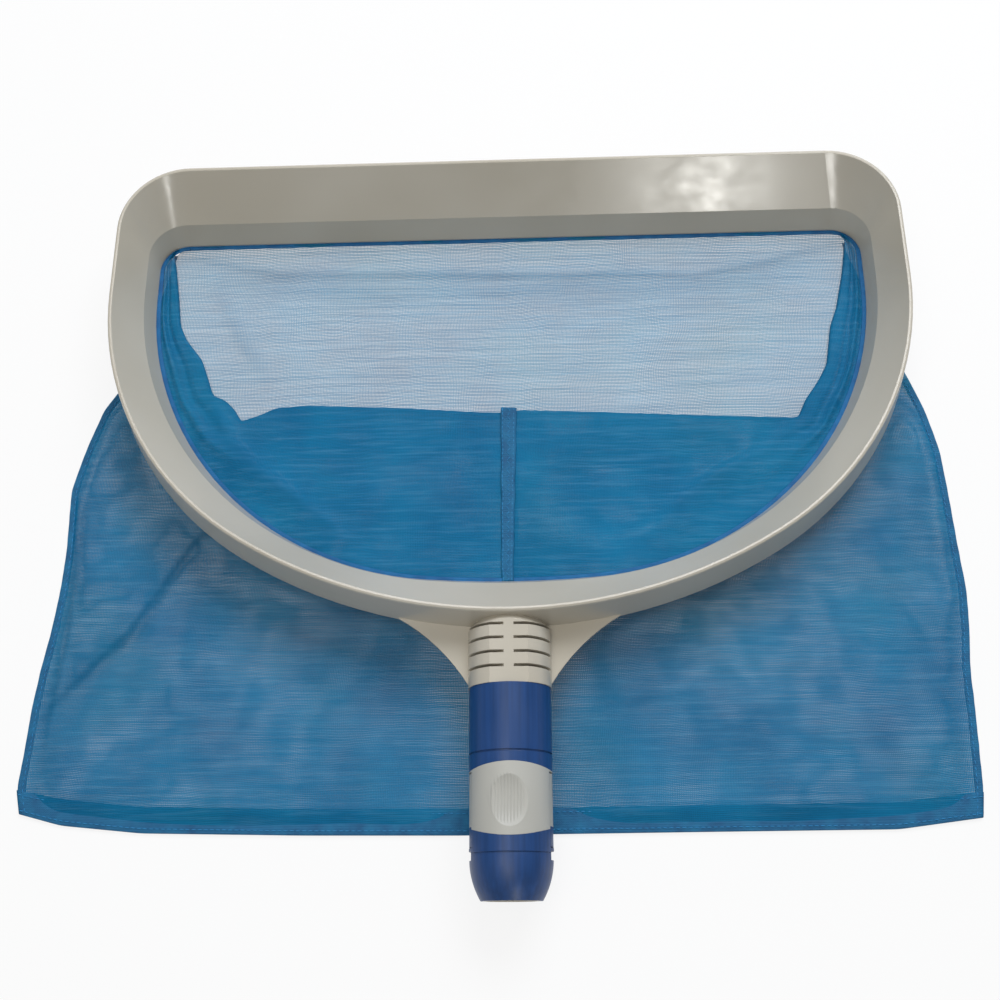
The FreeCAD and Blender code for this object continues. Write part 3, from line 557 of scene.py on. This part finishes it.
def thread(name, colour):
    """Twisted sewing thread."""
    material, tree, shader = new_tree(name)
    twist = thread_lines(tree, wavy_place(tree, 0.001)[0], 0.0005, 0.25, 0.2)
    light = shaded(colour, 1.5)
    tree.links.new(mixed(tree, twist, colour, light), shader.inputs["Base Color"])
    shader.inputs["Roughness"].default_value = 0.6
    return material


def dished_pad(name, colour, shade, centre, half_width, half_length):
    """The soft grey band, with fine lengthwise ribs inside the thumb dish."""
    material = plastic(name, colour, shade, (0.36, 0.5), grain=0.35, edge=0.0006)
    tree = material.node_tree
    shader = tree.nodes["Principled BSDF"]
    parts = add(tree, "SeparateXYZ", {0: add(tree, "TexCoord").outputs["Object"]})
    off_x = calc(tree, "DIVIDE", calc(tree, "SUBTRACT", parts.outputs["X"], centre[0]), half_width)
    off_y = calc(tree, "DIVIDE", calc(tree, "SUBTRACT", parts.outputs["Y"], centre[1]), half_length)
    reach = calc(tree, "SQRT", calc(tree, "ADD", calc(tree, "MULTIPLY", off_x, off_x),
                                    calc(tree, "MULTIPLY", off_y, off_y)))
    inside = mapped(tree, reach, 1.0, 0.85)
    ribs = calc(tree, "MULTIPLY", thread_lines(tree, parts.outputs["X"], 0.0018, 0.25, 0.2), inside)
    old = shader.inputs["Normal"].links[0].from_socket
    bump = add(tree, "Bump", {"Height": ribs, "Strength": 0.6, "Distance": 0.0003, "Normal": old})
    tree.links.new(bump.outputs["Normal"], shader.inputs["Normal"])
    base = shader.inputs["Base Color"].links[0].from_socket
    dark = shaded(shade, 0.8)
    tree.links.new(mixed(tree, calc(tree, "MULTIPLY", ribs, 0.35), base, dark), shader.inputs["Base Color"])
    return material


frame_plastic = plastic("moulded_grey", linear(198, 192, 179), linear(186, 179, 164), (0.17, 0.27))
ring_plastic = plastic("clamp_grey", linear(160, 160, 158), linear(148, 147, 144), (0.35, 0.5))
grip_blue = streaked_plastic("grip_blue", linear(18, 64, 122), linear(12, 54, 104), (0.34, 0.48))
pad_grey = plastic("pad_grey", linear(186, 186, 180), linear(176, 175, 168), (0.4, 0.55), 0.35)
screw_steel = steel("screw_steel", linear(190, 190, 188), 0.28)
pin_steel = steel("pin_steel", linear(200, 200, 198), 0.22)
spring_steel = steel("spring_steel", linear(170, 168, 165), 0.3)
netting = mesh_cloth("blue_netting", linear(10, 92, 134), linear(22, 128, 168), linear(60, 138, 152),
                     0.19, 0.12, 0.35, 0.24)
dense_netting = mesh_cloth("blue_netting_folded", linear(2, 92, 138), linear(10, 122, 168),
                           linear(20, 118, 142), 0.33, 0.24, 0.20, 0.45)
binding_tape = tape("binding_tape", linear(4, 90, 148), linear(12, 112, 172))
seam_tape = tape("seam_tape", linear(2, 86, 132), linear(10, 112, 158))
thread_blue = thread("thread_blue", linear(30, 118, 170))

dish_low, dish_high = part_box("thumb_pad")
dish_centre = (-0.0015, (dish_low.y + dish_high.y) / 2 + 0.0002)
dish_half_width = 0.0107
dish_half_length = 0.0140
thumb_grey = dished_pad("thumb_grey", linear(186, 186, 180), linear(176, 175, 168), dish_centre,
                        dish_half_width, dish_half_length)

finishes = {
    "frame_moulding": frame_plastic,
    "net_retaining_ring": ring_plastic,
    "ring_screws": screw_steel,
    "grip_upper_shell": grip_blue,
    "grip_lower_shell": grip_blue,
    "tail_ring": grip_blue,
    "thumb_pad": thumb_grey,
    "palm_pad": pad_grey,
    "grip_screws": screw_steel,
}
for side in ("left", "right"):
    finishes["latch_lever_" + side] = grip_blue
    finishes["latch_pad_" + side] = pad_grey
    finishes["latch_pivot_pin_" + side] = pin_steel
    finishes["latch_spring_" + side] = spring_steel
for name, material in finishes.items():
    data = cad_nodes[name].data
    data.materials.clear()
    data.materials.append(material)


# The bag


def fold_line(count):
    """Where the cover panel turns under: down the left band, along the fold and up the right band."""
    shares = np.linspace(0, 1, count)
    left = shares <= notch_share
    right = shares >= 1 - notch_share
    middle = ~(left | right)
    line = np.zeros((count, 2))
    line[left] = along(fold_left, shares[left] / notch_share)
    line[middle] = along(fold_middle, (shares[middle] - notch_share) / (1 - 2 * notch_share))
    line[right] = along(fold_right, (shares[right] - 1 + notch_share) / notch_share)
    return line


def handle_room(xy):
    """1 in the open, 0 under the handle and its webs."""
    return step_up(np.abs(xy[..., 0]), 0.030, 0.075) + step_up(xy[..., 1], -0.215, -0.160)


rim_line = mouth_curve(100, 440, 0.0, 260)


def open_room(xy):
    """1 where the cover panel is free to rise, 0 under the clamp ring and the handle."""
    distance, _, _ = nearest(xy, rim_line)
    return step_up(distance, 0.014, 0.040) * np.clip(handle_room(xy), 0, 1)


def edge_room(rows, columns, sides=0.05, ends=0.06):
    """0 at the seams and the hem, 1 inside."""
    u = np.linspace(0, 1, columns)[None, :]
    v = np.linspace(0, 1, rows)[:, None]
    across = step_up(np.minimum(u, 1 - u), 0.004, sides)
    return across * step_up(1 - v, 0.004, ends)


def floor_sheet():
    """The layer on the ground, from the far lip to the hem."""
    rows, columns = 190, 240
    shares = np.linspace(0, 1, rows)
    across = np.linspace(0, 1, columns)
    xy = coons(along(far_lip, across), along(smooth(along(hem_line, across), 3), across),
               along(smooth(along(corner_left + side_left, shares), 3), shares),
               along(smooth(along(corner_right + side_right, shares), 3), shares))
    distance, side, _ = nearest(xy, lip_crease)
    to_lip = np.where(side > 0, distance, 0.0)
    crease_y = np.interp(xy[..., 0], [p[0] for p in lip_crease], [p[1] for p in lip_crease])
    lip_reach = np.clip(to_lip / np.maximum(0.004, 0.059 - crease_y), 0, 1)
    z = np.full(xy.shape[:2], floor_layer_z)
    z += (rim_cloth_z - floor_layer_z) * lip_reach ** 1.3
    inside = step_up(xy[..., 1], -0.090, -0.050)
    z += inside * 0.0006 * (1 + ripple(xy, 26, 3.1, (1.0, 0.6)))
    z += inside * ridge(xy, light_streak, 0.0016, 0.010, 0.006)
    z += inside * ridge(xy, shifted(light_streak, 0.030, -0.004), 0.0012, 0.008, 0.012)
    z += inside * ridge(xy, lip_crease, 0.0010, 0.004, 0.003)
    z += 0.00025 * (1 + ripple(xy, 40, 9.7))
    # Bunching along the lip crease and the streak: denser netting, and painted shade darkening these
    # creases.
    bunch_and_shade = 0.30 * ridge(xy, lip_crease, 1.0, 0.0022, 0.0030)
    bunch_and_shade += 0.18 * ridge(xy, shifted(lip_crease, 0.0, -0.010), 1.0, 0.010, 0.012)
    bunch_and_shade += 0.14 * ridge(xy, light_streak, 1.0, 0.007, 0.004)
    points = np.dstack([xy, np.maximum(z, 0.0003)])
    return grid_object("bag_floor_sheet", points, {"bunch_and_shade": np.clip(bunch_and_shade, 0, 1)})


def cover_sheet():
    """The layer from the near rim in to the fold, then back under the frame to the hem."""
    columns = 300
    shares = np.linspace(0, 1, columns)
    rim = mouth_curve(112, 428, 0.0012, columns)
    fold = smooth(fold_line(columns), 2)
    toward = fold - rim
    inward = toward / np.maximum(np.linalg.norm(toward, axis=1), 1e-6)[:, None]

    upper_rows = 56
    t = np.linspace(0, 1, upper_rows)[:, None]
    start = fold - inward * fold_radius
    upper_xy = rim[None] * (1 - t[..., None]) + start[None] * t[..., None]
    band = np.exp(-((t - 0.30) / 0.10) ** 2) - 0.7 * np.exp(-((t - 0.55) / 0.12) ** 2)
    at_sides = step_up(np.abs(shares - 0.5), 0.18, 0.34)[None]
    upper_z = rim_cloth_z + (fold_top_z - rim_cloth_z) * t ** 0.8 + np.zeros((1, columns))
    upper_z = upper_z + 0.0018 * band * at_sides
    upper_z += 0.0012 * ripple(upper_xy, 30, 1.7) * np.sin(np.pi * t)
    upper_z += ridge(upper_xy, inner_fold_left, 0.0038, 0.006, 0.016)
    upper_z += ridge(upper_xy, inner_fold_right, 0.0032, 0.014, 0.006)
    # Bunching at the inner folds, the side bands, just inside the rim and at the fold's top: denser netting,
    # and painted shade darkening these places.
    upper_bunch_and_shade = 0.55 * ridge(upper_xy, inner_fold_left, 1.0, 0.0035, 0.0050)
    upper_bunch_and_shade += 0.40 * ridge(upper_xy, inner_fold_right, 1.0, 0.0050, 0.0035)
    upper_bunch_and_shade += 0.35 * np.exp(-((t - 0.42) / 0.07) ** 2) * at_sides
    upper_bunch_and_shade += 0.20 * (1 - step_up(t, 0.0, 0.10))
    upper_bunch_and_shade += 0.30 * step_up(t, 0.95, 1.0)

    turn_rows = 7
    turn = np.linspace(0, math.pi, turn_rows + 2)[1:-1][:, None]
    turn_xy = start[None] + inward[None] * (fold_radius * np.sin(turn))[..., None]
    middle_z = (fold_top_z + cover_low_z) / 2
    turn_z = middle_z + (fold_top_z - cover_low_z) / 2 * np.cos(turn) + np.zeros((1, columns))
    # The turn of the fold: denser netting, and painted shade all along it.
    turn_bunch_and_shade = np.full((turn_rows, columns), 0.30)

    lower_rows = 170
    down = np.linspace(0, 1, lower_rows)
    left = along(smooth(along([tuple(start[0])] + side_left, down), 3), down)
    right = along(smooth(along([tuple(start[-1])] + side_right, down), 3), down)
    bottom = along(smooth(along(hem_line, shares), 3), shares)
    lower_xy = coons(start, bottom, left, right)
    free = open_room(lower_xy) * edge_room(lower_rows, columns)
    lower_z = np.full(lower_xy.shape[:2], cover_low_z)
    lower_z = lower_z - 0.0007 * (1 - edge_room(lower_rows, columns))
    waves = 1.0 + ripple(lower_xy, 9, 4.4, (1.0, 0.8)) + 0.5 * ripple(lower_xy, 24, 8.8)
    lower_z = lower_z + free * 0.0032 * np.maximum(waves, 0)
    lower_z += free * ridge(lower_xy, main_fold, 0.0036, 0.0050, 0.018, 1.8)
    lower_z += free * ridge(lower_xy, edge_fold, 0.0018, 0.003, 0.006, 1.0)
    # Bunching at the main and edge folds, where denser netting and painted shade darken them, and in random
    # patches, which are denser and darker.
    lower_bunch_and_shade = 0.75 * ridge(lower_xy, main_fold, 1.0, 0.0028, 0.0018, 0.3)
    lower_bunch_and_shade += 0.22 * ridge(lower_xy, main_fold, 1.0, 0.0020, 0.014, 0.3)
    lower_bunch_and_shade += 0.45 * ridge(lower_xy, edge_fold, 1.0, 0.0015, 0.0025)
    lower_bunch_and_shade += 0.14 * step_up(ripple(lower_xy, 11, 6.3, (1.0, 0.7)), 0.05, 0.35)

    xy = np.concatenate([upper_xy, turn_xy, lower_xy])
    z = np.concatenate([upper_z, turn_z, lower_z])
    bunch_and_shade = np.concatenate([upper_bunch_and_shade, turn_bunch_and_shade, lower_bunch_and_shade])
    points = np.dstack([xy, np.maximum(z, 0.0007)])
    return grid_object("bag_cover_sheet", points, {"bunch_and_shade": np.clip(bunch_and_shade, 0, 1)})


def finish_piece(piece, material, slot, *replaced):
    """Gives a piece its material and body, and hides the CAD nodes that it stands for. The slot is not used.
    """
    piece.data.materials.append(material)
    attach(piece, ROOT)
    if replaced:
        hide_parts(*replaced)
    return piece


def inset_path(line, inset, count, z):
    """A path beside a polyline, moved to the right of its direction by inset."""
    points = smooth(along(line, np.linspace(0, 1, count)), 3)
    ahead = np.gradient(points, axis=0)
    ahead = ahead / np.linalg.norm(ahead, axis=1)[:, None]
    moved = points + inset * np.stack([ahead[:, 1], -ahead[:, 0]], axis=1)
    return np.column_stack([moved, np.full(count, z)])


floor_cloth = finish_piece(floor_sheet(), netting, "bag_mesh", "bag_floor_panel")
cover_cloth = finish_piece(cover_sheet(), dense_netting, "bag_mesh", "bag_cover_panel")


def hem_pieces():
    """The doubled hem, whose ends follow the bag's sides, and its two rows of stitches."""
    shares = np.linspace(0, 1, 260)
    outer = smooth(along(hem_line, shares), 6)
    left_end = along(side_left[::-1], [hem_width / bag_side_length])[0]
    right_end = along(side_right[::-1], [hem_width / bag_side_length])[0]
    raised = [(x, y + hem_width) for x, y in hem_line[1:-1]]
    inner = smooth(along([tuple(left_end)] + raised + [tuple(right_end)], shares), 6)
    hem = ribbon("bag_hem_band", outer, inner, hem_thickness, hem_thickness / 2)
    rows = []
    for number, share in enumerate((0.17, 0.82)):
        row = outer * (1 - share) + inner * share
        row = np.column_stack([row, np.full(len(row), hem_thickness)])
        rows.append(stitches("hem_stitches_%d" % number, row))
    return hem, join_objects("hem_stitches", rows)


hem_band, hem_stitches = hem_pieces()
finish_piece(hem_band, seam_tape, "hem_tape", "bag_bottom_hem")
finish_piece(hem_stitches, thread_blue, "hem_tape")


def side_seam_piece(side, name):
    """The seam that joins the two layers on one side, and its stitches."""
    line = side_left[2:] if side == LEFT else side_right[2:]
    path = inset_path(line, side * side_seam_width / 2, 110, side_seam_thickness / 2 + tape_lift)
    wobble = [1 + 0.10 * noise.noise(Vector((index * 0.35, side, 5))) for index in range(110)]
    profile = rounded_profile(side_seam_width, side_seam_thickness, 4)
    seam = sweep("bag_side_seam_tape_" + name, path, profile, scales=wobble)
    row = inset_path(line, side * (side_seam_width - 0.0012), 220, side_seam_thickness + tape_lift)
    return seam, stitches("side_stitches_" + name, row)


for side, name in ((LEFT, "left"), (RIGHT, "right")):
    seam, row = side_seam_piece(side, name)
    finish_piece(seam, seam_tape, "seam_tape", "bag_side_seam_" + name)
    finish_piece(row, thread_blue, "seam_tape")


def centre_seam_pieces():
    """The raised seam down the middle of the cover panel, with a zigzag and two straight rows."""
    top = Vector((0.0002, -0.0675, fold_top_z + 0.0010))
    end = Vector((-0.0016, -0.1835, rim_cloth_z + 0.0008))
    count = 90
    path = [top.lerp(end, index / (count - 1)) for index in range(count)]
    for index, point in enumerate(path):
        point.x += 0.0006 * noise.noise(Vector((index * 0.12, 3, 1)))
        point.z += 0.0004 * noise.noise(Vector((index * 0.2, 1, 4)))
    scales = [1.12 - 0.34 * index / (count - 1) for index in range(count)]
    profile = []
    for across, up in rounded_profile(centre_seam_width, 0.0019, 4, 28):
        bead = 0.0005 * math.exp(-((across + centre_seam_width * 0.30) / 0.0022) ** 2)
        profile.append((across, up + bead if up > 0 else up))
    seam = sweep("centre_seam_tape", path, profile, scales=scales)
    under = [Vector((0.0, y, 0.00195)) for y in np.linspace(-0.074, -0.318, 60)]
    lower = sweep("centre_seam_under", under, rounded_profile(0.011, 0.0009, 4, 16))
    rows = []
    for number, (offset, swing) in enumerate(((-0.0036, 0.0), (0.0030, 0.0), (0.0002, 0.0011))):
        line = [(point.x + offset * scale, point.y, point.z + 0.00095) for point, scale in zip(path, scales)]
        rows.append(stitches("seam_stitches_%d" % number, line, pitch=0.0030, swing=swing))
    return join_objects("bag_centre_seam_tape", [seam, lower]), join_objects("centre_seam_stitches", rows)


centre_seam, centre_stitches = centre_seam_pieces()
finish_piece(centre_seam, seam_tape, "seam_tape", "bag_centre_seam")
finish_piece(centre_stitches, thread_blue, "seam_tape")


def mouth_tape():
    """The folded tape that shows inside the rim all round."""
    outline = mouth_curve(90, 450, 0.0010, 420)[:-1]
    closing = along([tuple(outline[-1]), tuple(outline[0])], np.linspace(0, 1, 90))[1:-1]
    loop = np.concatenate([outline, closing])
    path = np.column_stack([loop, np.full(len(loop), 0.0053)])
    return sweep("mouth_binding_tape", path, rounded_profile(0.0034, 0.0009, 3, 14), closed=True)


finish_piece(mouth_tape(), binding_tape, "binding_tape", "mouth_binding")


# Floor, light and camera


def build_floor():
    """A pale floor that shows white to the camera and keeps a share of its shadow."""
    half = floor_half_size
    floor = mesh_object("floor", [(-half, -half, 0), (half, -half, 0), (half, half, 0), (-half, half, 0)],
                        [(0, 1, 2, 3)])
    floor.location.z = -floor_drop
    material, tree, shader = new_tree("pale_floor")
    shader.inputs["Base Color"].default_value = (0.82, 0.82, 0.82, 1.0)
    shader.inputs["Roughness"].default_value = 0.8
    path = add(tree, "LightPath")
    seen = calc(tree, "MAXIMUM", path.outputs["Is Camera Ray"],
                calc(tree, "MAXIMUM", path.outputs["Is Glossy Ray"], path.outputs["Is Transmission Ray"]))
    white = add(tree, "Emission", {"Color": (1.0, 1.0, 1.0, 1.0), "Strength": 1.0})
    share = calc(tree, "MULTIPLY", seen, white_share)
    blend = add(tree, "MixShader", {0: share, 1: shader.outputs[0], 2: white.outputs[0]})
    output = tree.nodes["Material Output"]
    tree.links.new(blend.outputs[0], output.inputs["Surface"])
    floor.data.materials.append(material)


def build_world():
    """A white room that lights the net softly."""
    world = bpy.data.worlds.new("studio")
    bpy.context.scene.world = world
    world.use_nodes = True
    tree = world.node_tree
    background = tree.nodes["Background"]
    background.inputs["Color"].default_value = (0.93, 0.96, 1.0, 1.0)
    path = add(tree, "LightPath")
    strength = mapped(tree, path.outputs["Is Camera Ray"], 0.0, 1.0, room_light, 1.0)
    tree.links.new(strength, background.inputs["Strength"])


def area_light(name, place_at, target, size, power, colour):
    """A soft rectangular lamp that points at a place."""
    light = bpy.data.lights.new(name, "AREA")
    light.shape = "RECTANGLE"
    light.size, light.size_y = size
    light.energy = power
    light.color = colour
    made = bpy.data.objects.new(name, light)
    made.location = place_at
    direction = Vector(target) - Vector(place_at)
    made.rotation_euler = direction.to_track_quat("-Z", "Y").to_euler()
    bpy.context.scene.collection.objects.link(made)
    return made


def build_lights():
    """A cool key from behind, a warm fill from above, and a small window that only glints in the gloss."""
    area_light("key", (0.45, 1.15, 1.55), light_target, (1.5, 1.0), 33, (0.92, 0.95, 1.0))
    area_light("fill", (-0.40, -0.55, 1.90), light_target, (1.4, 1.0), 11.5, (1.0, 0.95, 0.86))
    window = area_light("window", (0.40, -1.70, 0.91), (0.13, 0.08, 0.04), (0.13, 0.17), 4.5,
                        (1.0, 0.99, 0.95))
    window.visible_diffuse = False


def build_camera():
    """The photograph's view: 70 degrees above the floor, turned a little and rolled."""
    camera = bpy.data.cameras.new("photo_camera")
    camera.sensor_width = 36.0
    camera.lens = 43.2
    made = bpy.data.objects.new("photo_camera", camera)
    back = camera_right.cross(camera_up)
    matrix = Matrix((camera_right, camera_up, back)).transposed().to_4x4()
    matrix.translation = camera_place
    made.matrix_world = matrix
    bpy.context.scene.collection.objects.link(made)
    bpy.context.scene.camera = made


build_floor()
build_world()
build_lights()
build_camera()
bpy.context.scene.view_settings.view_transform = "Standard"
